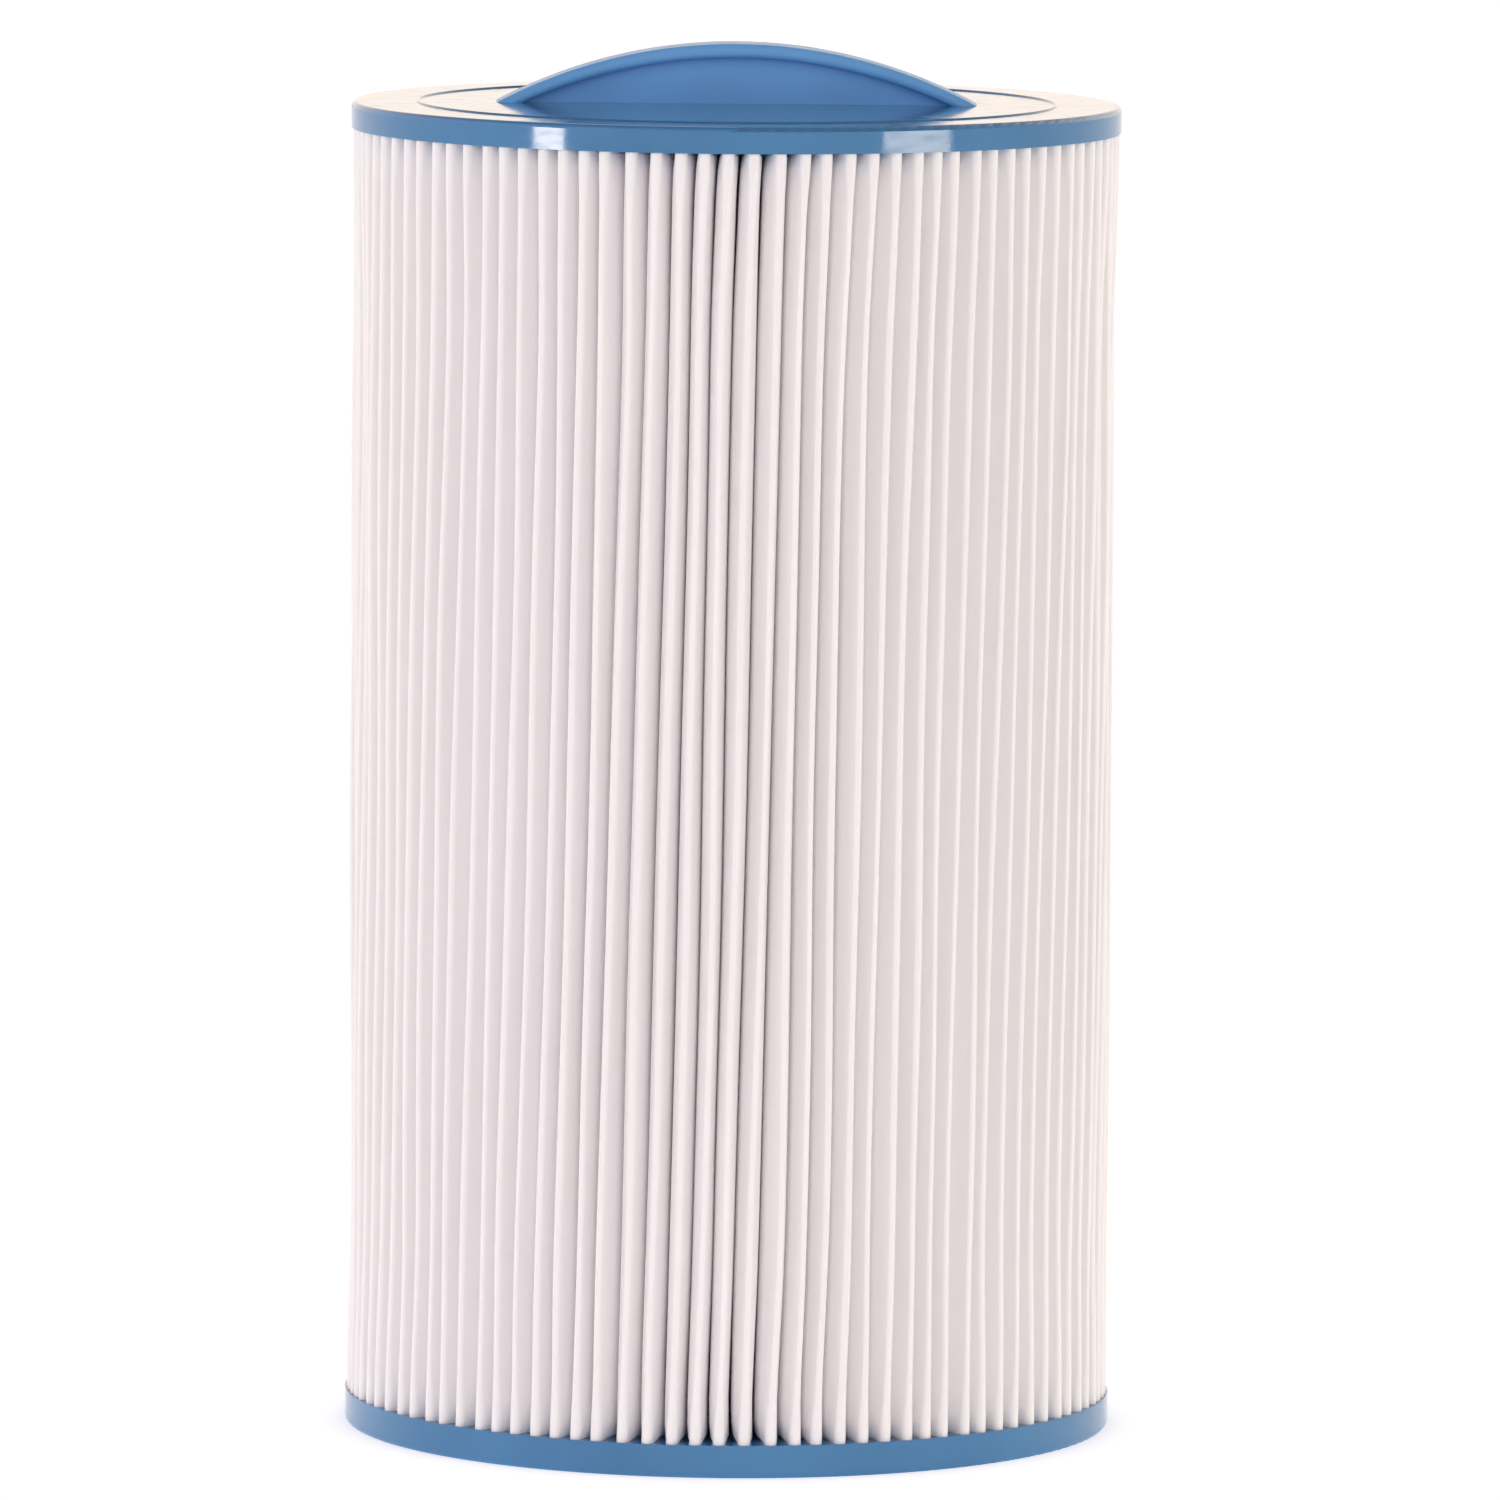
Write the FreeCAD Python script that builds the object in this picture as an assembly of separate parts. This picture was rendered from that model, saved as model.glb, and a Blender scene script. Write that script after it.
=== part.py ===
import FreeCAD, Part
import math
import os
import random

# A pleated spa filter cartridge. It stands on its lower end cap with the lifting handle up.
# The origin is at the centre of the lower cap's underside, +Z runs up the axis, and the handle's
# long side lies along X. All lengths are in millimetres and all angles in degrees.

# Overall size
CAP_RADIUS = 75.4
BODY_HEIGHT = 260.4
TOP_BAND = 5.1
BOTTOM_BAND = 6.4
CAP_EDGE_RADIUS = 0.9

# Raised line of flash where the mould's centre insert met its rim, on the top face
FLASH_RING_RADIUS = 62.5
FLASH_WIDTH = 0.8
FLASH_TOP_WIDTH = 0.3
FLASH_HEIGHT = 0.25

# Slip-fit bore through the lower cap
BORE_RADIUS = 27.0
BORE_LEAD_IN = 1.0

# Pleated media
PLEAT_COUNT = 100
MEDIA_THICKNESS = 0.5
PLEAT_TIP_RADIUS = 75.1
PLEAT_ROOT_RADIUS = 31.8
OUTER_FOLD_RADIUS = 1.15
INNER_FOLD_RADIUS = 0.75
MEDIA_POTTED_DEPTH = 2.6
FIRST_PLEAT_ANGLE = 89.0

# The pleats are gathered round the core by hand, so their outer folds aren't quite evenly spaced
PLEAT_SWAY = 0.45
SWAY_WAVES = 6
PLEAT_JITTER = 0.38
JITTER_SEED = 12

# Bead that joins the ends of the media, between the two end legs and beside the core
SEAM_WIDTH = 11.0

# Core tube, in two sections
CORE_INNER_RADIUS = 28.5
CORE_WALL = 1.8
CORE_RIB_HEIGHT = 1.1
CORE_RIB_WIDTH = 2.4
CORE_POTTED_BOTTOM = 3.4
CORE_POTTED_TOP = 2.0
CORE_COLUMNS = 12
CORE_ROWS = 9
WINDOW_WIDTH = 10.2
WINDOW_HEIGHT = 9.0
WINDOW_CORNER = 1.5
COLLAR_HEIGHT = 8.0
SPIGOT_LENGTH = 5.0
SPIGOT_WALL = 1.3
SPIGOT_GAP = 0.1

# Dished plug that closes the top of the core
PLUG_FLANGE = 1.0
PLUG_WALL = 1.2
PLUG_DEPTH = 6.5
PLUG_GAP = 0.15

# Lifting handle: a rim flange over a thinner web, on a foot that is cast into the top cap
HANDLE_LENGTH = 94.0
HANDLE_HEIGHT = 11.8
HANDLE_THICKNESS = 12.0
RIM_HEIGHT = 2.8
WEB_LENGTH = 83.4
WEB_THICKNESS = 6.4
RIM_EDGE_RADIUS = 1.35
RIM_LIP_RADIUS = 1.0
SKIRT_DEPTH = 1.5
STEM_LENGTH = 42.0
FOOT_LENGTH = 46.0
FOOT_WIDTH = 24.0
FOOT_THICKNESS = 2.0
FOOT_COVER = 4.2
FOOT_CORNER = 6.0
FOOT_HOLE_RADIUS = 3.0
FOOT_HOLE_X = 14.0
FOOT_HOLE_Y = 7.8

# Heights worked out from the sizes above
TOP_CAP_UNDERSIDE = BODY_HEIGHT - TOP_BAND
MEDIA_BOTTOM = BOTTOM_BAND - MEDIA_POTTED_DEPTH
MEDIA_TOP = TOP_CAP_UNDERSIDE + MEDIA_POTTED_DEPTH
CORE_BOTTOM = BOTTOM_BAND - CORE_POTTED_BOTTOM
CORE_TOP = TOP_CAP_UNDERSIDE + CORE_POTTED_TOP
CORE_JOINT = (CORE_BOTTOM + CORE_TOP) / 2
PLUG_TOP = CORE_TOP + PLUG_FLANGE
FOOT_TOP = BODY_HEIGHT - FOOT_COVER

# Radii worked out from the sizes above
CORE_WALL_RADIUS = CORE_INNER_RADIUS + CORE_WALL
CORE_RIB_RADIUS = CORE_WALL_RADIUS + CORE_RIB_HEIGHT
SPIGOT_RADIUS = CORE_INNER_RADIUS + SPIGOT_WALL
PLUG_RADIUS = CORE_INNER_RADIUS - PLUG_GAP
DISH_RADIUS = PLUG_RADIUS - PLUG_WALL

PLEAT_PITCH = 360.0 / PLEAT_COUNT
CLOSE = 0.01  # two sizes that differ by less are the same
UP = FreeCAD.Vector(0, 0, 1)
DEPTHWISE = FreeCAD.Vector(0, 1, 0)


def point(x, y, z=0.0):
    return FreeCAD.Vector(x, y, z)


def disc(radius, bottom, top):
    return Part.makeCylinder(radius, top - bottom, point(0, 0, bottom))


def ring(inner_radius, outer_radius, bottom, top):
    return disc(outer_radius, bottom, top).cut(disc(inner_radius, bottom, top))


def centred_box(length, width, bottom, top):
    return Part.makeBox(length, width, top - bottom, point(-length / 2, -width / 2, bottom))


def turned(shape, angle):
    """A copy of the shape, turned about the cartridge's axis."""
    copy = shape.copy()
    copy.rotate(point(0, 0), UP, angle)
    return copy


def raised(shape, height):
    """A copy of the shape, moved up."""
    copy = shape.copy()
    copy.translate(UP * height)
    return copy


def circles_at(shape, radius, height):
    """The shape's round edges of one radius at one height."""
    found = []
    for edge in shape.Edges:
        if isinstance(edge.Curve, Part.Circle):
            same_radius = abs(edge.Curve.Radius - radius) < 0.001
            same_height = abs(edge.Curve.Center.z - height) < 0.001
            if same_radius and same_height:
                found.append(edge)
    return found


# The media: a sheet of constant thickness, drawn fold by fold. Every fold is an arc, and every leg
# between two folds is the straight line that touches both arcs.


def on_circle(radius, angle, centre=FreeCAD.Vector(0, 0, 0)):
    return centre + point(math.cos(math.radians(angle)), math.sin(math.radians(angle))) * radius


def fold_angles():
    """The direction of every outer fold from the axis."""
    chance = random.Random(JITTER_SEED)
    angles = []
    for index in range(PLEAT_COUNT):
        sway = PLEAT_SWAY * math.sin(2 * math.pi * SWAY_WAVES * index / PLEAT_COUNT)
        jitter = chance.uniform(-PLEAT_JITTER, PLEAT_JITTER)
        angles.append(FIRST_PLEAT_ANGLE + index * PLEAT_PITCH + sway + jitter)
    return angles


FOLD_ANGLES = fold_angles()


def outer_centre(index):
    return on_circle(PLEAT_TIP_RADIUS - OUTER_FOLD_RADIUS, FOLD_ANGLES[index])


def inner_centre(index):
    """The centre of the inner fold that comes before a pleat."""
    angle = FIRST_PLEAT_ANGLE + (index - 0.5) * PLEAT_PITCH
    return on_circle(PLEAT_ROOT_RADIUS + INNER_FOLD_RADIUS, angle)


def leg_ends(inner, outer, inner_radius, outer_radius, side):
    """Where a leg leaves an inner fold's arc and meets an outer fold's.

    The leg crosses between the two arcs. Its side is 1 where it rises from the fold before a pleat,
    and -1 where it falls to the fold after it.
    """
    between = outer - inner
    heading = math.degrees(math.atan2(between.y, between.x))
    slant = math.degrees(math.asin((inner_radius + outer_radius) / between.Length))
    square_to_leg = heading - side * slant + side * 90
    leave = on_circle(inner_radius, square_to_leg, inner)
    meet = on_circle(-outer_radius, square_to_leg, outer)
    return leave, meet


def sheet_face(outer_radius, inner_radius):
    """The edges of one whole face of the sheet, in order from its first end to its last."""
    edges = []
    last_end = None
    for index in range(PLEAT_COUNT):
        before = inner_centre(index)
        centre = outer_centre(index)
        after = inner_centre(index + 1)
        rise_start, rise_end = leg_ends(before, centre, inner_radius, outer_radius, 1)
        fall_end, fall_start = leg_ends(after, centre, inner_radius, outer_radius, -1)
        if last_end is not None:
            root = before - before * (inner_radius / before.Length)
            edges.append(Part.Arc(last_end, root, rise_start).toShape())
        tip = centre + centre * (outer_radius / centre.Length)
        edges.append(Part.LineSegment(rise_start, rise_end).toShape())
        edges.append(Part.Arc(rise_end, tip, fall_start).toShape())
        edges.append(Part.LineSegment(fall_start, fall_end).toShape())
        last_end = fall_end
    return edges


def end_points(edges):
    return edges[0].valueAt(edges[0].FirstParameter), edges[-1].valueAt(edges[-1].LastParameter)


def pleated_media():
    outside = sheet_face(OUTER_FOLD_RADIUS, INNER_FOLD_RADIUS - MEDIA_THICKNESS)
    inside = sheet_face(OUTER_FOLD_RADIUS - MEDIA_THICKNESS, INNER_FOLD_RADIUS)
    outside_start, outside_end = end_points(outside)
    inside_start, inside_end = end_points(inside)
    start_edge = Part.LineSegment(inside_start, outside_start).toShape()
    end_edge = Part.LineSegment(outside_end, inside_end).toShape()
    outline = Part.Wire(outside + [end_edge] + inside[::-1] + [start_edge])
    return raised(Part.Face(outline).extrude(UP * (MEDIA_TOP - MEDIA_BOTTOM)), MEDIA_BOTTOM)


def media_seam():
    """The bead fills the narrow space between the sheet's two end legs, beside the core."""
    sheet_side = INNER_FOLD_RADIUS - MEDIA_THICKNESS
    last = PLEAT_COUNT - 1
    first_leg = leg_ends(inner_centre(0), outer_centre(0), sheet_side, OUTER_FOLD_RADIUS, 1)
    last_leg = leg_ends(inner_centre(last + 1), outer_centre(last), sheet_side, OUTER_FOLD_RADIUS, -1)
    corners = []
    for start, end in (last_leg, first_leg):
        along = (end - start).normalize()
        corners.append((start, start + along * SEAM_WIDTH))
    (last_start, last_end), (first_start, first_end) = corners
    face = Part.Face(Part.makePolygon([last_start, last_end, first_end, first_start, last_start]))
    return raised(face.extrude(UP * (MEDIA_TOP - MEDIA_BOTTOM)), MEDIA_BOTTOM)


# The core: a perforated tube with ribs that hold the pleats off its wall


def window_cutter():
    """A round-cornered bar that cuts one window through the core's wall, on the +X side."""
    reach = 2 * (CORE_RIB_RADIUS - CORE_INNER_RADIUS)
    start = CORE_INNER_RADIUS - CORE_WALL / 2
    bar = Part.makeBox(reach, WINDOW_WIDTH, WINDOW_HEIGHT, point(start, -WINDOW_WIDTH / 2, 0))
    lengthwise = [edge for edge in bar.Edges if abs(edge.tangentAt(0).x) > 0.99]
    return bar.makeFillet(WINDOW_CORNER, lengthwise)


def core_windows(bottom, top):
    """Cutters for all windows of a section, between its two solid collars."""
    row_pitch = (top - bottom - 2 * COLLAR_HEIGHT) / CORE_ROWS
    hoop_height = row_pitch - WINDOW_HEIGHT
    cutter = window_cutter()
    cutters = []
    for row in range(CORE_ROWS):
        height = bottom + COLLAR_HEIGHT + row * row_pitch + hoop_height / 2
        for column in range(CORE_COLUMNS):
            cutters.append(turned(raised(cutter, height), column * 360.0 / CORE_COLUMNS))
    return cutters


def core_ribs(bottom, top):
    """Lengthwise ribs on the posts between the columns of windows, from collar to collar."""
    rib_start = CORE_WALL_RADIUS - CORE_WALL / 2
    rib = Part.makeBox(CORE_RIB_RADIUS - rib_start, CORE_RIB_WIDTH, top - bottom,
                       point(rib_start, -CORE_RIB_WIDTH / 2, bottom))
    rib = rib.common(disc(CORE_RIB_RADIUS, bottom, top))
    return [turned(rib, (column + 0.5) * 360.0 / CORE_COLUMNS) for column in range(CORE_COLUMNS)]


def core_section(bottom, top):
    """The tube, collars, ribs and windows that both sections share."""
    wall = ring(CORE_INNER_RADIUS, CORE_WALL_RADIUS, bottom, top).cut(core_windows(bottom, top))
    low_collar = ring(CORE_INNER_RADIUS, CORE_RIB_RADIUS, bottom, bottom + COLLAR_HEIGHT)
    high_collar = ring(CORE_INNER_RADIUS, CORE_RIB_RADIUS, top - COLLAR_HEIGHT, top)
    ribs = core_ribs(bottom + COLLAR_HEIGHT, top - COLLAR_HEIGHT)
    return wall.fuse([low_collar, high_collar] + ribs).removeSplitter()


def core_lower_section():
    """The lower section ends in a spigot that centres the upper one."""
    spigot_bottom = CORE_JOINT - COLLAR_HEIGHT / 2
    spigot = ring(CORE_INNER_RADIUS, SPIGOT_RADIUS, spigot_bottom, CORE_JOINT + SPIGOT_LENGTH)
    return core_section(CORE_BOTTOM, CORE_JOINT).fuse(spigot).removeSplitter()


def core_upper_section():
    socket_radius = SPIGOT_RADIUS + SPIGOT_GAP
    socket = disc(socket_radius, CORE_JOINT, CORE_JOINT + SPIGOT_LENGTH + SPIGOT_GAP)
    return core_section(CORE_JOINT, CORE_TOP).cut(socket)


def core_plug():
    """A shallow cup whose flange sits on the core's top end."""
    bottom = CORE_TOP - PLUG_DEPTH
    cup = disc(PLUG_RADIUS, bottom, PLUG_TOP)
    flange = disc(CORE_RIB_RADIUS, CORE_TOP, PLUG_TOP)
    dish = disc(DISH_RADIUS, bottom + PLUG_WALL, PLUG_TOP)
    return cup.fuse(flange).cut(dish)


# The handle


def crescent_radius(chord, crown_height):
    """The radius of an arc with this chord and height."""
    return (chord ** 2 / 4 + crown_height ** 2) / (2 * crown_height)


def crescent_cylinder(chord, crown_height, thickness):
    """A cylinder lying along Y whose arc stands on the top face with this chord and height."""
    radius = crescent_radius(chord, crown_height)
    centre_height = BODY_HEIGHT + crown_height - radius
    start = point(0, -thickness / 2, centre_height)
    return Part.makeCylinder(radius, thickness, start, DEPTHWISE)


def handle_fin():
    """The rim flange over the recessed web, down to the skirt that is sunk in the cap."""
    bottom = BODY_HEIGHT - SKIRT_DEPTH
    crown = BODY_HEIGHT + HANDLE_HEIGHT
    blank = centred_box(2 * HANDLE_LENGTH, HANDLE_THICKNESS, bottom, crown)
    fin = blank.common(crescent_cylinder(HANDLE_LENGTH, HANDLE_HEIGHT, HANDLE_THICKNESS))
    rim_edges = [edge for edge in fin.Edges if isinstance(edge.Curve, Part.Circle)]
    fin = fin.makeFillet(RIM_EDGE_RADIUS, rim_edges)
    under_rim = crescent_cylinder(WEB_LENGTH, HANDLE_HEIGHT - RIM_HEIGHT, HANDLE_THICKNESS)
    web = centred_box(2 * HANDLE_LENGTH, WEB_THICKNESS, bottom, crown)
    fin = fin.cut(under_rim.cut(web))
    return fin.makeFillet(RIM_LIP_RADIUS, outer_arcs(fin, WEB_LENGTH, HANDLE_HEIGHT - RIM_HEIGHT))


def outer_arcs(fin, chord, crown_height):
    """The edges of this arc that lie in the fin's two outer faces."""
    radius = crescent_radius(chord, crown_height)
    arcs = [edge for edge in fin.Edges if isinstance(edge.Curve, Part.Circle)]
    arcs = [arc for arc in arcs if abs(arc.Curve.Radius - radius) < CLOSE]
    return [arc for arc in arcs if abs(arc.CenterOfMass.y) > HANDLE_THICKNESS / 2 - CLOSE]


def handle_foot():
    """The stem and the holed plate that lock the handle into the cast urethane."""
    stem = centred_box(STEM_LENGTH, WEB_THICKNESS, FOOT_TOP, BODY_HEIGHT - SKIRT_DEPTH)
    plate = centred_box(FOOT_LENGTH, FOOT_WIDTH, FOOT_TOP - FOOT_THICKNESS, FOOT_TOP)
    upright = [edge for edge in plate.Edges if abs(edge.tangentAt(0).z) > 0.99]
    plate = plate.makeFillet(FOOT_CORNER, upright)
    for x in (-FOOT_HOLE_X, FOOT_HOLE_X):
        for y in (-FOOT_HOLE_Y, FOOT_HOLE_Y):
            hole = Part.makeCylinder(FOOT_HOLE_RADIUS, FOOT_THICKNESS,
                                     point(x, y, FOOT_TOP - FOOT_THICKNESS))
            plate = plate.cut(hole)
    return [stem, plate]


def handle():
    return handle_fin().fuse(handle_foot()).removeSplitter()


# The end caps, cast round the ends of the media and the core


def flash_ring():
    """The low ridge that the mould's parting line leaves on the cap's face."""
    low = BODY_HEIGHT - FLASH_HEIGHT
    high = BODY_HEIGHT + FLASH_HEIGHT
    section = [
        (FLASH_RING_RADIUS - FLASH_WIDTH / 2, low),
        (FLASH_RING_RADIUS + FLASH_WIDTH / 2, low),
        (FLASH_RING_RADIUS + FLASH_WIDTH / 2, BODY_HEIGHT),
        (FLASH_RING_RADIUS + FLASH_TOP_WIDTH / 2, high),
        (FLASH_RING_RADIUS - FLASH_TOP_WIDTH / 2, high),
        (FLASH_RING_RADIUS - FLASH_WIDTH / 2, BODY_HEIGHT),
    ]
    corners = [point(radius, 0, height) for radius, height in section]
    outline = Part.Face(Part.makePolygon(corners + corners[:1]))
    return outline.revolve(point(0, 0, 0), point(0, 0, 1), 360)


def top_end_cap(potted):
    """The closed cap. Its urethane also fills the plug's dish, round the handle's foot."""
    cap = disc(CAP_RADIUS, TOP_CAP_UNDERSIDE, BODY_HEIGHT)
    cap = cap.makeFillet(CAP_EDGE_RADIUS, circles_at(cap, CAP_RADIUS, BODY_HEIGHT))
    core_end = disc(CORE_RIB_RADIUS, TOP_CAP_UNDERSIDE, PLUG_TOP)
    dish_fill = disc(DISH_RADIUS, CORE_TOP - PLUG_DEPTH + PLUG_WALL, PLUG_TOP)
    return cap.fuse(flash_ring()).cut(core_end).fuse(dish_fill).removeSplitter().cut(potted)


def bottom_end_cap(potted):
    """The ring cap, with a slip-fit bore through it into the core."""
    cap = disc(CAP_RADIUS, 0, BOTTOM_BAND)
    cap = cap.makeFillet(CAP_EDGE_RADIUS, circles_at(cap, CAP_RADIUS, 0))
    bore = disc(BORE_RADIUS, 0, BOTTOM_BAND)
    lead_in = Part.makeCone(BORE_RADIUS + BORE_LEAD_IN, BORE_RADIUS, BORE_LEAD_IN)
    core_end = ring(CORE_INNER_RADIUS, CORE_RIB_RADIUS, CORE_BOTTOM, BOTTOM_BAND)
    return cap.cut([bore, lead_in, core_end]).cut(potted)


def build():
    media = pleated_media()
    seam = media_seam()
    grip = handle()
    return {
        "top_end_cap": top_end_cap([media, seam, grip]),
        "handle": grip,
        "bottom_end_cap": bottom_end_cap([media, seam]),
        "pleated_media": media,
        "media_seam": seam,
        "core_lower_section": core_lower_section(),
        "core_upper_section": core_upper_section(),
        "core_plug": core_plug(),
    }


os.makedirs("parts", exist_ok=True)
for name, shape in build().items():
    shape.exportStep(f"parts/{name}.step")
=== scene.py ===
import math
import random

import bpy
import numpy as np
from mathutils import Matrix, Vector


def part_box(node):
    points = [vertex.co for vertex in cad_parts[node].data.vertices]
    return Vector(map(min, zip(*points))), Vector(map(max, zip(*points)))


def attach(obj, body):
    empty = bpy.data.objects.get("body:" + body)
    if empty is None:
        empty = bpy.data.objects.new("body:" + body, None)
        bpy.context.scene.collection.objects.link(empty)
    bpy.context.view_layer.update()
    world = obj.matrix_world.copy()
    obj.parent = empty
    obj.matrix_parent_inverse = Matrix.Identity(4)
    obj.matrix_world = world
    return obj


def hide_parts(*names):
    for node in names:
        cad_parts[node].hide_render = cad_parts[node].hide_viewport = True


# The looks of a pleated spa filter cartridge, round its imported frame. All lengths are in metres and
# all angles in degrees unless a name says otherwise. +Z is up and the camera looks along +Y.

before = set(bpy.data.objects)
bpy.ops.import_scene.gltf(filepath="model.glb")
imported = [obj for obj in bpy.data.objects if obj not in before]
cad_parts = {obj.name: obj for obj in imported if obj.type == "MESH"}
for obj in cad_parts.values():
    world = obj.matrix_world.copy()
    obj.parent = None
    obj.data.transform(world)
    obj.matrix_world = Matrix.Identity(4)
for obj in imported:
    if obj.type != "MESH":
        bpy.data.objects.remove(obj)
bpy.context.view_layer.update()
cap_low, cap_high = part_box("top_end_cap")
base_low, base_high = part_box("bottom_end_cap")
media_low, media_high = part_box("pleated_media")
plug_low, plug_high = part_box("core_plug")

CAP_RADIUS = (cap_high.x - cap_low.x) / 2
CORE_RADIUS = (plug_high.x - plug_low.x) / 2
CAP_UNDERSIDE = 0.2553  # the height of the top cap's lower face

# Pleated media, as the frame has it
PLEAT_COUNT = 100
PLEAT_PITCH = 360.0 / PLEAT_COUNT
FIRST_PLEAT_ANGLE = 89.0
MEDIA_THICKNESS = 0.0005
OUTER_FOLD_RADIUS = 0.00115
INNER_FOLD_RADIUS = 0.00075
TIP_CLEARANCE = 0.0003
ROOT_CLEARANCE = 0.0004
PLEAT_TIP_RADIUS = CAP_RADIUS - TIP_CLEARANCE
PLEAT_ROOT_RADIUS = CORE_RADIUS + ROOT_CLEARANCE
PLEAT_HALF_WIDTH_AT_ROOT = 0.0008
PLEAT_SWAY = 0.45  # slow drift of the slots in the caps, one way and the other
SWAY_WAVES = 6
PLEAT_JITTER = 0.38  # and the most that a single slot is off on top of that
JITTER_SEED = 12

# How the real sheet departs from that between the caps: each outer fold strays sideways and dips inward
WANDER_SEED = 5
WANDER_ANGLE = 0.3
WANDER_REACH = 0.04  # how far from a cap's face the sheet is fully free
WANDER_WAVES = ((0.6, 0.6), (1.3, 0.45), (2.6, 0.2))  # cycles over the height, share of the size
WANDER_CYCLE_SPREAD = 0.2
DRIFT_CYCLES = 0.7  # the part of the wander that neighbours share, over the height
DRIFT_WAVES = 4  # and round the ring
TIP_DIP = 0.0009
FOLD_OPENING = -0.42  # change of an outer fold's radius, as a share
FOLD_SPREAD = 0.12
FOLD_REACH = 0.012  # how far from a cap's face an outer fold has its free radius

# Each leg bellies into the gap beside it until it meets, or all but meets, the next pleat's leg
BELLY_PLACE = 0.84  # share of the leg, from its root, at which the belly is fullest
BELLY_GAP = 0.00004
BELLY_MOST = 0.0022
BELLY_REACH = 0.0012  # how far from a cap's face a belly starts
BELLY_BY_CAPS = 0.85  # fullness there, next to 1 where the sheet is free
COMB_SWELL = -0.0004  # sideways swell that all the legs share
COMB_REACH = 0.006

# How finely the sheet is cut up
LEG_SHARES = (0.48, 0.71, BELLY_PLACE, 0.935)
LEVELS = 26
FOLD_STEPS = 5

# The seam bead
SEAM_WIDTH = 0.011
SEAM_HOLLOW = 0.0004


# Small helpers for node trees

# The middle range of a noise texture's factor, which holds nearly all of it
NOISE_LOW = 0.3
NOISE_HIGH = 0.7


def add_node(tree, kind, **settings):
    node = tree.nodes.new(kind)
    for name, value in settings.items():
        setattr(node, name, value)
    return node


def set_inputs(node, **values):
    for name, value in values.items():
        node.inputs[name.replace("_", " ")].default_value = value
    return node


def new_material(name):
    material = bpy.data.materials.new(name)
    material.use_nodes = True
    tree = material.node_tree
    shader = tree.nodes["Principled BSDF"]
    return material, tree, shader


def object_position(tree):
    return add_node(tree, "ShaderNodeTexCoord").outputs["Object"]


def stretched(tree, position, scale):
    mapping = add_node(tree, "ShaderNodeMapping")
    mapping.inputs["Scale"].default_value = scale
    tree.links.new(position, mapping.inputs["Vector"])
    return mapping.outputs["Vector"]


def noise(tree, position, scale, detail=2.0, roughness=0.5):
    texture = add_node(tree, "ShaderNodeTexNoise")
    set_inputs(texture, Scale=scale, Detail=detail, Roughness=roughness)
    tree.links.new(position, texture.inputs["Vector"])
    return texture.outputs["Fac"]


def two_tone(tree, factor, dark, light):
    """A colour that passes from dark to light over the middle range of a noise factor."""
    node = add_node(tree, "ShaderNodeValToRGB")
    stops = ((NOISE_LOW, dark), (NOISE_HIGH, light))
    for element, (position, colour) in zip(node.color_ramp.elements, stops):
        element.position = position
        element.color = (*colour, 1.0)
    tree.links.new(factor, node.inputs["Fac"])
    return node.outputs["Color"]


def remapped(tree, factor, low, high):
    """The middle range of a noise factor, stretched to run from low to high."""
    node = add_node(tree, "ShaderNodeMapRange")
    set_inputs(node, From_Min=NOISE_LOW, From_Max=NOISE_HIGH, To_Min=low, To_Max=high)
    tree.links.new(factor, node.inputs["Value"])
    return node.outputs["Result"]


def bump(tree, shader, layers):
    """Stacks (height, distance) layers of bump and gives them to the shader."""
    normal = None
    for height, distance in layers:
        node = add_node(tree, "ShaderNodeBump")
        set_inputs(node, Strength=1.0, Distance=distance)
        tree.links.new(height, node.inputs["Height"])
        if normal is not None:
            tree.links.new(normal, node.inputs["Normal"])
        normal = node.outputs["Normal"]
    tree.links.new(normal, shader.inputs["Normal"])


# Materials, each with the darker and lighter tone that it is clouded with

URETHANE_TONES = ((0.038, 0.171, 0.355), (0.053, 0.213, 0.427))
# The handle's tones are painted far lighter than its own blue, which is the caps' blue: painted light,
# standing in for the light that its web, recessed under the rim, does not get.
HANDLE_TONES_PAINTED_LIGHTER = ((0.141, 0.413, 0.790), (0.168, 0.475, 0.890))
POLYESTER_TONES = ((0.94, 0.925, 0.93), (0.968, 0.955, 0.962))
CORE_TONES = ((0.74, 0.74, 0.71), (0.82, 0.82, 0.8))
ADHESIVE_TONES = ((0.66, 0.56, 0.36), (0.76, 0.68, 0.48))
FLOOR_TONES = ((0.80, 0.80, 0.80), (0.82, 0.82, 0.82))
FLOOR_GLOW = 0.56


def urethane_material():
    """Cast urethane: glossy from a polished mould, faintly clouded, with a few fine scuffs."""
    material, tree, shader = new_material("cast_urethane")
    position = object_position(tree)
    cloud = noise(tree, position, scale=28.0, detail=4.0)
    colour = two_tone(tree, cloud, *URETHANE_TONES)
    tree.links.new(colour, shader.inputs["Base Color"])
    scuffs = noise(tree, stretched(tree, position, (1.0, 1.0, 4.0)), scale=220.0, detail=3.0)
    tree.links.new(remapped(tree, scuffs, low=0.05, high=0.13), shader.inputs["Roughness"])
    ripple = noise(tree, position, scale=45.0, detail=1.0)
    grain = noise(tree, position, scale=1600.0, detail=2.0)
    bump(tree, shader, [(ripple, 0.00004), (grain, 0.000004)])
    set_inputs(shader, IOR=1.5)
    return material


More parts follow.
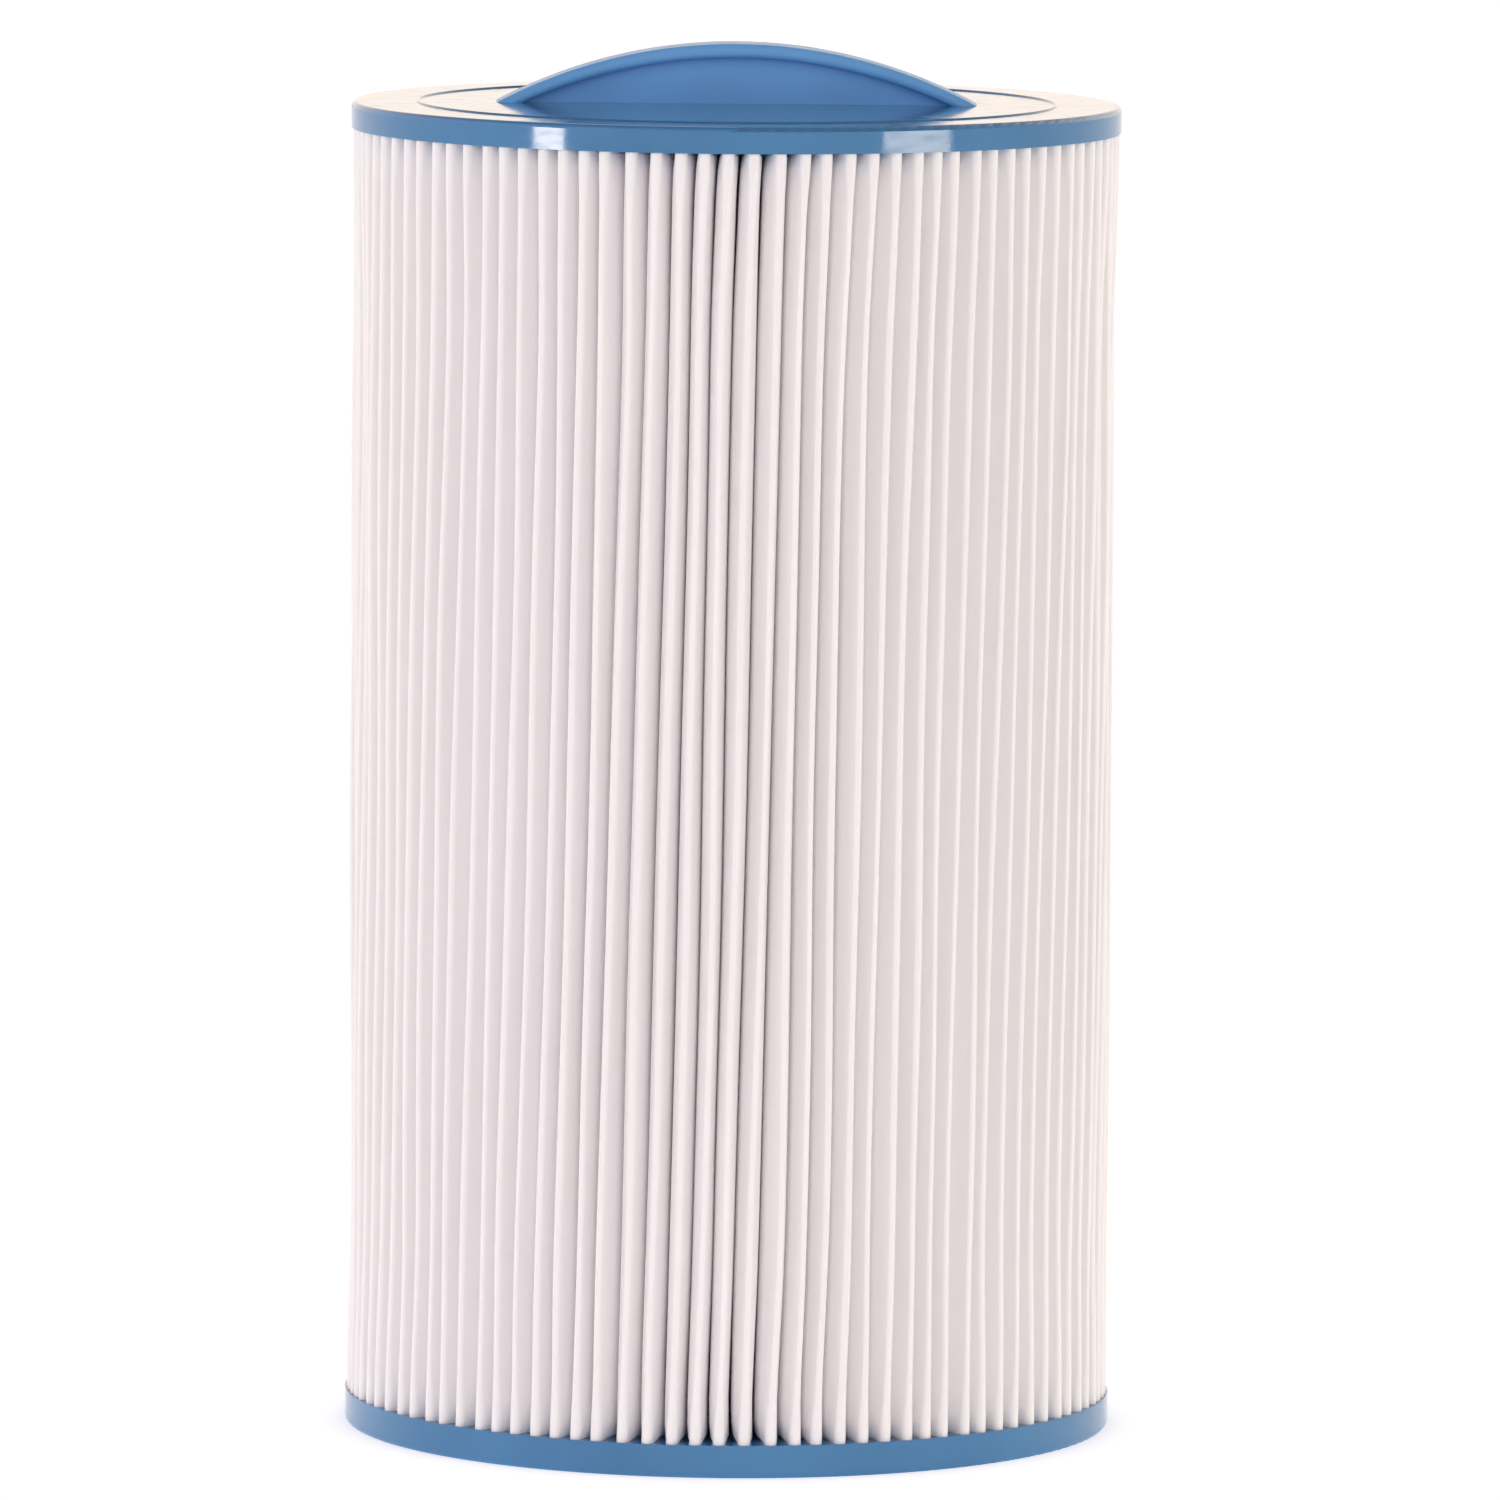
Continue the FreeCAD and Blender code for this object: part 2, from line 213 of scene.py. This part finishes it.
def handle_material():
    """Moulded plastic with a satin, very finely grained skin."""
    material, tree, shader = new_material("moulded_handle_plastic")
    position = object_position(tree)
    cloud = noise(tree, position, scale=40.0, detail=3.0)
    # painted light: this colour is made much lighter than the plastic's own blue, to stand in for the light
    # the web under the rim misses
    colour = two_tone(tree, cloud, *HANDLE_TONES_PAINTED_LIGHTER)
    tree.links.new(colour, shader.inputs["Base Color"])
    wear = noise(tree, position, scale=160.0, detail=4.0)
    tree.links.new(remapped(tree, wear, low=0.3, high=0.42), shader.inputs["Roughness"])
    grain = noise(tree, position, scale=2600.0, detail=2.0)
    flow = noise(tree, position, scale=60.0, detail=1.0)
    bump(tree, shader, [(flow, 0.00003), (grain, 0.00001)])
    set_inputs(shader, IOR=1.46)
    return material


def media_material():
    """Spun-bonded polyester: matt white felted fibres that let some light through."""
    material, tree, shader = new_material("spun_bonded_polyester")
    position = object_position(tree)
    blotch = noise(tree, stretched(tree, position, (1.0, 1.0, 0.25)), scale=26.0, detail=3.0)
    colour = two_tone(tree, blotch, *POLYESTER_TONES)
    tree.links.new(colour, shader.inputs["Base Color"])
    fibres = noise(tree, position, scale=900.0, detail=6.0, roughness=0.7)
    tree.links.new(remapped(tree, fibres, low=0.72, high=0.95), shader.inputs["Roughness"])
    lay = noise(tree, stretched(tree, position, (1.0, 1.0, 0.35)), scale=420.0, detail=3.0)
    bump(tree, shader, [(lay, 0.00006), (fibres, 0.00005)])
    set_inputs(shader, Sheen_Weight=0.15, Sheen_Roughness=0.5)
    set_inputs(shader, Subsurface_Weight=1.0, Subsurface_Radius=(1, 1, 1), Subsurface_Scale=0.0006)
    return material


def core_material():
    """Moulded white plastic with flow lines and a dull skin."""
    material, tree, shader = new_material("moulded_core_plastic")
    position = object_position(tree)
    cloud = noise(tree, position, scale=50.0, detail=3.0)
    colour = two_tone(tree, cloud, *CORE_TONES)
    tree.links.new(colour, shader.inputs["Base Color"])
    wear = noise(tree, position, scale=300.0, detail=3.0)
    tree.links.new(remapped(tree, wear, low=0.35, high=0.5), shader.inputs["Roughness"])
    flow = noise(tree, stretched(tree, position, (1.0, 1.0, 0.2)), scale=240.0, detail=2.0)
    bump(tree, shader, [(flow, 0.00003)])
    return material


def seam_material():
    """Hot-melt adhesive, set with a rippled skin."""
    material, tree, shader = new_material("hot_melt_adhesive")
    position = object_position(tree)
    cloud = noise(tree, position, scale=90.0, detail=3.0)
    colour = two_tone(tree, cloud, *ADHESIVE_TONES)
    tree.links.new(colour, shader.inputs["Base Color"])
    tree.links.new(remapped(tree, cloud, low=0.3, high=0.45), shader.inputs["Roughness"])
    ripple = noise(tree, position, scale=380.0, detail=2.0)
    bump(tree, shader, [(ripple, 0.0002)])
    return material


def floor_material():
    """A pale floor that glows a little, as a lit white table does."""
    material, tree, shader = new_material("pale_floor")
    position = object_position(tree)
    cloud = noise(tree, position, scale=3.0, detail=2.0)
    colour = two_tone(tree, cloud, *FLOOR_TONES)
    tree.links.new(colour, shader.inputs["Base Color"])
    set_inputs(shader, Roughness=0.9, Emission_Color=(1, 1, 1, 1), Emission_Strength=FLOOR_GLOW)
    return material


def dress(material, *nodes):
    """Gives a material to CAD nodes whose own shape stays."""
    for name in nodes:
        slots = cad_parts[name].material_slots
        for slot in slots:
            slot.material = material


# The pleated sheet: the section is worked out at each level and the levels are skinned together


def smooth_noise(chance):
    """A gentle random wave over the height, from about -1 to 1, as a function of 0 to 1."""
    waves = []
    for cycles, size in WANDER_WAVES:
        stretch = chance.uniform(1 - WANDER_CYCLE_SPREAD, 1 + WANDER_CYCLE_SPREAD)
        waves.append((cycles * stretch, size, chance.uniform(0, 2 * math.pi)))
    return lambda v: sum(size * math.sin(2 * math.pi * n * v + phase) for n, size, phase in waves)


def smooth_step(share):
    share = max(0.0, min(1.0, share))
    return share * share * (3 - 2 * share)


def free_of_caps(v, reach):
    """0 where the sheet is held in the caps, rising to 1 at a distance from their faces."""
    height = media_low.z + (media_high.z - media_low.z) * v
    distance = min(height - base_high.z, CAP_UNDERSIDE - height)
    return smooth_step(distance / reach)


def slot_angle(index):
    """The direction in which an outer fold is potted, in the top cap and in the bottom one."""
    place = index % PLEAT_COUNT
    sway = PLEAT_SWAY * math.sin(2 * math.pi * SWAY_WAVES * place / PLEAT_COUNT)
    return FIRST_PLEAT_ANGLE + index * PLEAT_PITCH + sway + slot_jitter[place]


def draw_jitter():
    chance = random.Random(JITTER_SEED)
    return [chance.uniform(-PLEAT_JITTER, PLEAT_JITTER) for _ in range(PLEAT_COUNT)]


slot_jitter = draw_jitter()


class Pleat:
    """One outer fold: where it lies at each height, and how open it is."""

    def __init__(self, index, chance):
        self.index = index
        self.sideways = smooth_noise(chance)
        self.dip = smooth_noise(chance)
        self.spread = smooth_noise(chance)

    def angle(self, v):
        low, high = slot_angle(self.index - 1), slot_angle(self.index)
        drift = math.sin(2 * math.pi * (DRIFT_CYCLES * v + DRIFT_WAVES * self.index / PLEAT_COUNT))
        wander = WANDER_ANGLE * (self.sideways(v) + drift)
        return low + (high - low) * v + wander * free_of_caps(v, WANDER_REACH)

    def tip_radius(self, v):
        dip = TIP_DIP * (0.5 + 0.5 * self.dip(v))
        return PLEAT_TIP_RADIUS - dip * free_of_caps(v, WANDER_REACH)

    def fold_radius(self, v):
        spread = FOLD_OPENING + FOLD_SPREAD * self.spread(v)
        return OUTER_FOLD_RADIUS * (1 + spread * free_of_caps(v, FOLD_REACH))


def on_circle(radius, angle, centre=(0.0, 0.0)):
    turn = math.radians(angle)
    return np.array(centre) + radius * np.array((math.cos(turn), math.sin(turn)))


def direction_of(vector):
    return math.degrees(math.atan2(vector[1], vector[0]))


def leg_ends(inner, outer, inner_radius, outer_radius, side):
    """Where a leg leaves an inner fold's arc and meets an outer fold's; side is 1 where it rises."""
    across = outer - inner
    slant = math.degrees(math.asin((inner_radius + outer_radius) / np.linalg.norm(across)))
    square_to_leg = direction_of(across) - side * slant + side * 90
    return on_circle(inner_radius, square_to_leg, inner), on_circle(-outer_radius, square_to_leg, outer)


def belly(before, after, v):
    """How far both legs in the gap between two pleats belly out into it, from the room there."""
    room_angle = BELLY_PLACE * (after.angle(v) - before.angle(v)) + (1 - BELLY_PLACE) * PLEAT_PITCH
    belly_radius = PLEAT_ROOT_RADIUS + BELLY_PLACE * (PLEAT_TIP_RADIUS - PLEAT_ROOT_RADIUS)
    room = belly_radius * math.radians(room_angle) - half_width(before, v) - half_width(after, v) - BELLY_GAP
    fullness = BELLY_BY_CAPS + (1 - BELLY_BY_CAPS) * free_of_caps(v, WANDER_REACH)
    return max(0.0, min(BELLY_MOST, room / 2)) * fullness * free_of_caps(v, BELLY_REACH)


def half_width(pleat, v):
    """From a pleat's middle to its outer face at the belly's place, before it swells."""
    return BELLY_PLACE * pleat.fold_radius(v) + (1 - BELLY_PLACE) * PLEAT_HALF_WIDTH_AT_ROOT


def leg_points(start, end, swell):
    """Points inside a leg from root to tip, swollen sideways most at the belly's place."""
    along = (end - start) / np.linalg.norm(end - start)
    sideways = np.array((-along[1], along[0]))
    points = []
    for share in LEG_SHARES:
        points.append(start + (end - start) * share + sideways * swell * swell_shape(share))
    return points


def swell_shape(share):
    """0 at both ends of a leg and 1 at the belly's place."""
    power = BELLY_PLACE / (1 - BELLY_PLACE)
    return (share / BELLY_PLACE) ** power * (1 - share) / (1 - BELLY_PLACE)


def lean_at_tip(swell):
    """The angle by which a swollen leg leans where it meets the outer fold."""
    leg_length = PLEAT_TIP_RADIUS - PLEAT_ROOT_RADIUS
    power = BELLY_PLACE / (1 - BELLY_PLACE)
    return math.degrees(math.atan(swell / leg_length / (1 - BELLY_PLACE) / BELLY_PLACE ** power))


def pleat_line(pleat, v, belly_before, belly_after):
    """The middle line of one pleat, from the inner fold before it to where its last leg ends."""
    inner_radius = INNER_FOLD_RADIUS - MEDIA_THICKNESS / 2
    comb = COMB_SWELL * free_of_caps(v, COMB_REACH)
    middle = FIRST_PLEAT_ANGLE + (pleat.index - 1 + v) * PLEAT_PITCH
    before = on_circle(PLEAT_ROOT_RADIUS + INNER_FOLD_RADIUS, middle - PLEAT_PITCH / 2)
    after = on_circle(PLEAT_ROOT_RADIUS + INNER_FOLD_RADIUS, middle + PLEAT_PITCH / 2)
    fold = pleat.fold_radius(v) - MEDIA_THICKNESS / 2
    centre = on_circle(pleat.tip_radius(v) - pleat.fold_radius(v), pleat.angle(v))
    rise_start, rise_end = leg_ends(before, centre, inner_radius, fold, 1)
    fall_end, fall_start = leg_ends(after, centre, inner_radius, fold, -1)
    rise_swell, fall_swell = comb - belly_before, comb + belly_after
    first = direction_of(rise_end - centre) + lean_at_tip(rise_swell)
    sweep = (direction_of(fall_start - centre) + lean_at_tip(fall_swell) - first) % 360
    arc = [on_circle(fold, first + sweep * step / FOLD_STEPS, centre) for step in range(FOLD_STEPS + 1)]
    inner_fold = [before * (1 - inner_radius / np.linalg.norm(before))] if pleat.index > 0 else []
    rise = [rise_start] + leg_points(rise_start, arc[0], rise_swell)
    fall = leg_points(fall_end, arc[-1], fall_swell)[::-1] + [fall_end]
    return inner_fold + rise + arc + fall


def section(pleats, v):
    """The sheet's middle line at a height from 0 to 1, from its first end to its last."""
    bellies = [belly(before, after, v) for before, after in zip(pleats, pleats[1:])]
    line = []
    for pleat, belly_before, belly_after in zip(pleats, [0.0] + bellies, bellies + [0.0]):
        line += pleat_line(pleat, v, belly_before, belly_after)
    return np.array(line)


def offset(line, distance):
    """The line moved sideways, to its right as it runs."""
    along = np.gradient(line, axis=0)
    along /= np.linalg.norm(along, axis=1)[:, None]
    return line + distance * np.stack((along[:, 1], -along[:, 0]), axis=1)


def levels():
    """Heights of the sections as (metres, share from 0 to 1): both ends, and steps that crowd by the caps."""
    heights = [media_low.z]
    for step in range(LEVELS + 1):
        share = (1 - math.cos(math.pi * step / LEVELS)) / 2
        heights.append(base_high.z + (CAP_UNDERSIDE - base_high.z) * share)
    heights.append(media_high.z)
    return [(height, (height - media_low.z) / (media_high.z - media_low.z)) for height in heights]


def skin(rows):
    """Vertices and faces of a closed sheet from rows of (one side's points, other side's points)."""
    width = len(rows[0][0])
    vertices = [point for outside, inside in rows for point in (*outside, *inside)]
    faces = []
    for level in range(len(rows) - 1):
        low, high = 2 * width * level, 2 * width * (level + 1)
        for k in range(width - 1):
            faces.append((low + k, low + k + 1, high + k + 1, high + k))
            a, b = low + width + k, high + width + k
            faces.append((a + 1, a, b, b + 1))
        for k, turn in ((0, 1), (width - 1, -1)):
            faces.append((low + k, high + k, high + width + k, low + width + k)[::turn])
    top = 2 * width * (len(rows) - 1)
    for k in range(width - 1):
        faces.append((k + 1, k, width + k, width + k + 1))
        faces.append((top + k, top + k + 1, top + width + k + 1, top + width + k))
    return vertices, faces


def tube(rings):
    """Vertices and faces of a solid from a stack of closed outlines."""
    sides = len(rings[0])
    vertices = [point for outline in rings for point in outline]
    faces = []
    for level in range(len(rings) - 1):
        low, high = sides * level, sides * (level + 1)
        for k in range(sides):
            after = (k + 1) % sides
            faces.append((low + k, low + after, high + after, high + k))
    faces.append(tuple(range(sides))[::-1])
    faces.append(tuple(range(sides * (len(rings) - 1), sides * len(rings))))
    return vertices, faces


def mesh_object(name, vertices, faces):
    mesh = bpy.data.meshes.new(name)
    mesh.from_pydata([tuple(vertex) for vertex in vertices], [], faces)
    mesh.validate()
    mesh.shade_smooth()
    piece = bpy.data.objects.new(name, mesh)
    bpy.context.scene.collection.objects.link(piece)
    return piece


def lifted(points, height):
    return [(x, y, height) for x, y in points]


def make_pleats():
    chance = random.Random(WANDER_SEED)
    return [Pleat(index, chance) for index in range(PLEAT_COUNT)]


def pleated_sheet(pleats):
    rows = []
    for height, v in levels():
        line = section(pleats, v)
        outside = offset(line, MEDIA_THICKNESS / 2)
        inside = offset(line, -MEDIA_THICKNESS / 2)
        rows.append((lifted(outside, height), lifted(inside, height)))
    return mesh_object("pleated_sheet", *skin(rows))


def towards(start, end, distance):
    return start + (end - start) * distance / np.linalg.norm(end - start)


def seam_outline(outside):
    """The bead between the sheet's two end legs, from their roots out to its hollow front."""
    first_leg = towards(outside[0], outside[1], SEAM_WIDTH)
    last_leg = towards(outside[-1], outside[-2], SEAM_WIDTH)
    front = (first_leg + last_leg) / 2
    hollow = towards(front, np.zeros(2), SEAM_HOLLOW)
    return [outside[0], outside[-1], last_leg, hollow, first_leg]


def seam_bead(pleats):
    rings = []
    for height, v in levels():
        outside = offset(section(pleats, v), MEDIA_THICKNESS / 2)
        rings.append(lifted(seam_outline(outside), height))
    return mesh_object("seam_bead", *tube(rings))


pleats = make_pleats()
media = pleated_sheet(pleats)
media.data.materials.append(media_material())
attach(media, "root")
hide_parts("pleated_media")

seam = seam_bead(pleats)
seam.data.materials.append(seam_material())
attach(seam, "root")
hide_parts("media_seam")

dress(urethane_material(), "top_end_cap", "bottom_end_cap")
dress(handle_material(), "handle")
dress(core_material(), "core_lower_section", "core_upper_section", "core_plug")


# Camera, at the photograph's viewing angle

CAMERA_DISTANCE = 36.41 * CAP_RADIUS
CAMERA_HEIGHT = 5.738 * CAP_RADIUS
CAMERA_PITCH = 6.23
CAMERA_YAW = 0.0763
CAMERA_ROLL = 0.477
CAMERA_LENS = 336.8


def make_camera():
    data = bpy.data.cameras.new("camera")
    data.lens = CAMERA_LENS
    camera = bpy.data.objects.new("camera", data)
    bpy.context.scene.collection.objects.link(camera)
    turn = Matrix.Rotation(math.radians(-CAMERA_YAW), 4, "Z")
    tilt = Matrix.Rotation(math.radians(90 - CAMERA_PITCH), 4, "X")
    roll = Matrix.Rotation(math.radians(CAMERA_ROLL), 4, "Z")
    place = Matrix.Translation((0, -CAMERA_DISTANCE, CAMERA_HEIGHT))
    camera.matrix_world = place @ turn @ tilt @ roll
    bpy.context.scene.camera = camera


make_camera()


# Studio: two low soft lights in front, a bright surround and a pale floor

LIGHT_DISTANCE = 3.2
LIGHT_HEIGHT = 0.13
LIGHT_BOUNCES = 24
FLOOR_SIZE = 80.0
WORLD_FRONT = (0.90, 0.81, 0.82)
WORLD_LEFT = (1.60, 1.41, 1.56)
WORLD_RIGHT = (1.52, 1.31, 1.19)
WORLD_BACK = (1.41, 1.25, 1.10)
WORLD_ZENITH = (0.22, 0.2, 0.22)

# Where one part of the surround passes into the next, as X, Y or Z of the direction looked in
LEFT_TO_RIGHT = (-0.7, 0.7)
FRONT_TO_SIDES = (-0.97, -0.6)
SIDES_TO_BACK = (-0.3, 0.5)
SIDES_TO_ZENITH = (0.2, 0.9)

# The colour sockets of a mix node, which has unseen ones of the same name for numbers and vectors
MIX_FIRST_COLOUR = 6
MIX_SECOND_COLOUR = 7
MIX_COLOUR = 2


def soft_light(name, azimuth, width, radiance, colour):
    """A low softbox on the floor, as wide as an angle; azimuth 0 is the camera's side, 90 the right."""
    data = bpy.data.lights.new(name, "AREA")
    data.shape = "RECTANGLE"
    data.size = 2 * LIGHT_DISTANCE * math.tan(math.radians(width / 2))
    data.size_y = LIGHT_HEIGHT
    data.energy = radiance * math.pi * data.size * data.size_y
    data.color = colour
    light = bpy.data.objects.new(name, data)
    bpy.context.scene.collection.objects.link(light)
    turn = Matrix.Rotation(math.radians(azimuth), 4, "Z")
    stand = Matrix.Translation((0, -LIGHT_DISTANCE, LIGHT_HEIGHT / 2))
    face = Matrix.Rotation(math.radians(90), 4, "X")
    light.matrix_world = turn @ stand @ face
    light.visible_camera = False


def give_colour(tree, socket, colour):
    """Gives a socket a constant colour, or links it to another socket."""
    if isinstance(colour, tuple):
        socket.default_value = (*colour, 1.0)
    else:
        tree.links.new(colour, socket)


def world_blend(tree, value, span, first, second):
    """Passes smoothly from the first colour to the second as the value rises through the span."""
    rise = add_node(tree, "ShaderNodeMapRange", interpolation_type="SMOOTHSTEP")
    set_inputs(rise, From_Min=span[0], From_Max=span[1])
    tree.links.new(value, rise.inputs["Value"])
    mix = add_node(tree, "ShaderNodeMix", data_type="RGBA")
    tree.links.new(rise.outputs["Result"], mix.inputs["Factor"])
    give_colour(tree, mix.inputs[MIX_FIRST_COLOUR], first)
    give_colour(tree, mix.inputs[MIX_SECOND_COLOUR], second)
    return mix.outputs[MIX_COLOUR]


def make_world():
    world = bpy.data.worlds.new("studio")
    bpy.context.scene.world = world
    world.use_nodes = True
    tree = world.node_tree
    direction = add_node(tree, "ShaderNodeTexCoord").outputs["Generated"]
    parts = add_node(tree, "ShaderNodeSeparateXYZ")
    tree.links.new(direction, parts.inputs["Vector"])
    x, y, z = (parts.outputs[axis] for axis in "XYZ")
    across = world_blend(tree, x, LEFT_TO_RIGHT, WORLD_LEFT, WORLD_RIGHT)
    aside = world_blend(tree, y, FRONT_TO_SIDES, WORLD_FRONT, across)
    round_it = world_blend(tree, y, SIDES_TO_BACK, aside, WORLD_BACK)
    upwards = world_blend(tree, z, SIDES_TO_ZENITH, round_it, WORLD_ZENITH)
    tree.links.new(upwards, tree.nodes["Background"].inputs["Color"])


def make_floor():
    half = FLOOR_SIZE / 2
    corners = [(-half, -half, 0), (half, -half, 0), (half, half, 0), (-half, half, 0)]
    floor = mesh_object("floor", corners, [(0, 1, 2, 3)])
    floor.location.z = base_low.z
    floor.data.materials.append(floor_material())


soft_light("left_softbox", azimuth=-57.0, width=10.0, radiance=20.0, colour=(1.0, 0.90, 0.84))
soft_light("right_softbox", azimuth=55.0, width=22.0, radiance=9.4, colour=(1.0, 0.92, 0.80))
make_world()
make_floor()
bpy.context.scene.view_settings.view_transform = "Standard"
bpy.context.scene.cycles.diffuse_bounces = LIGHT_BOUNCES
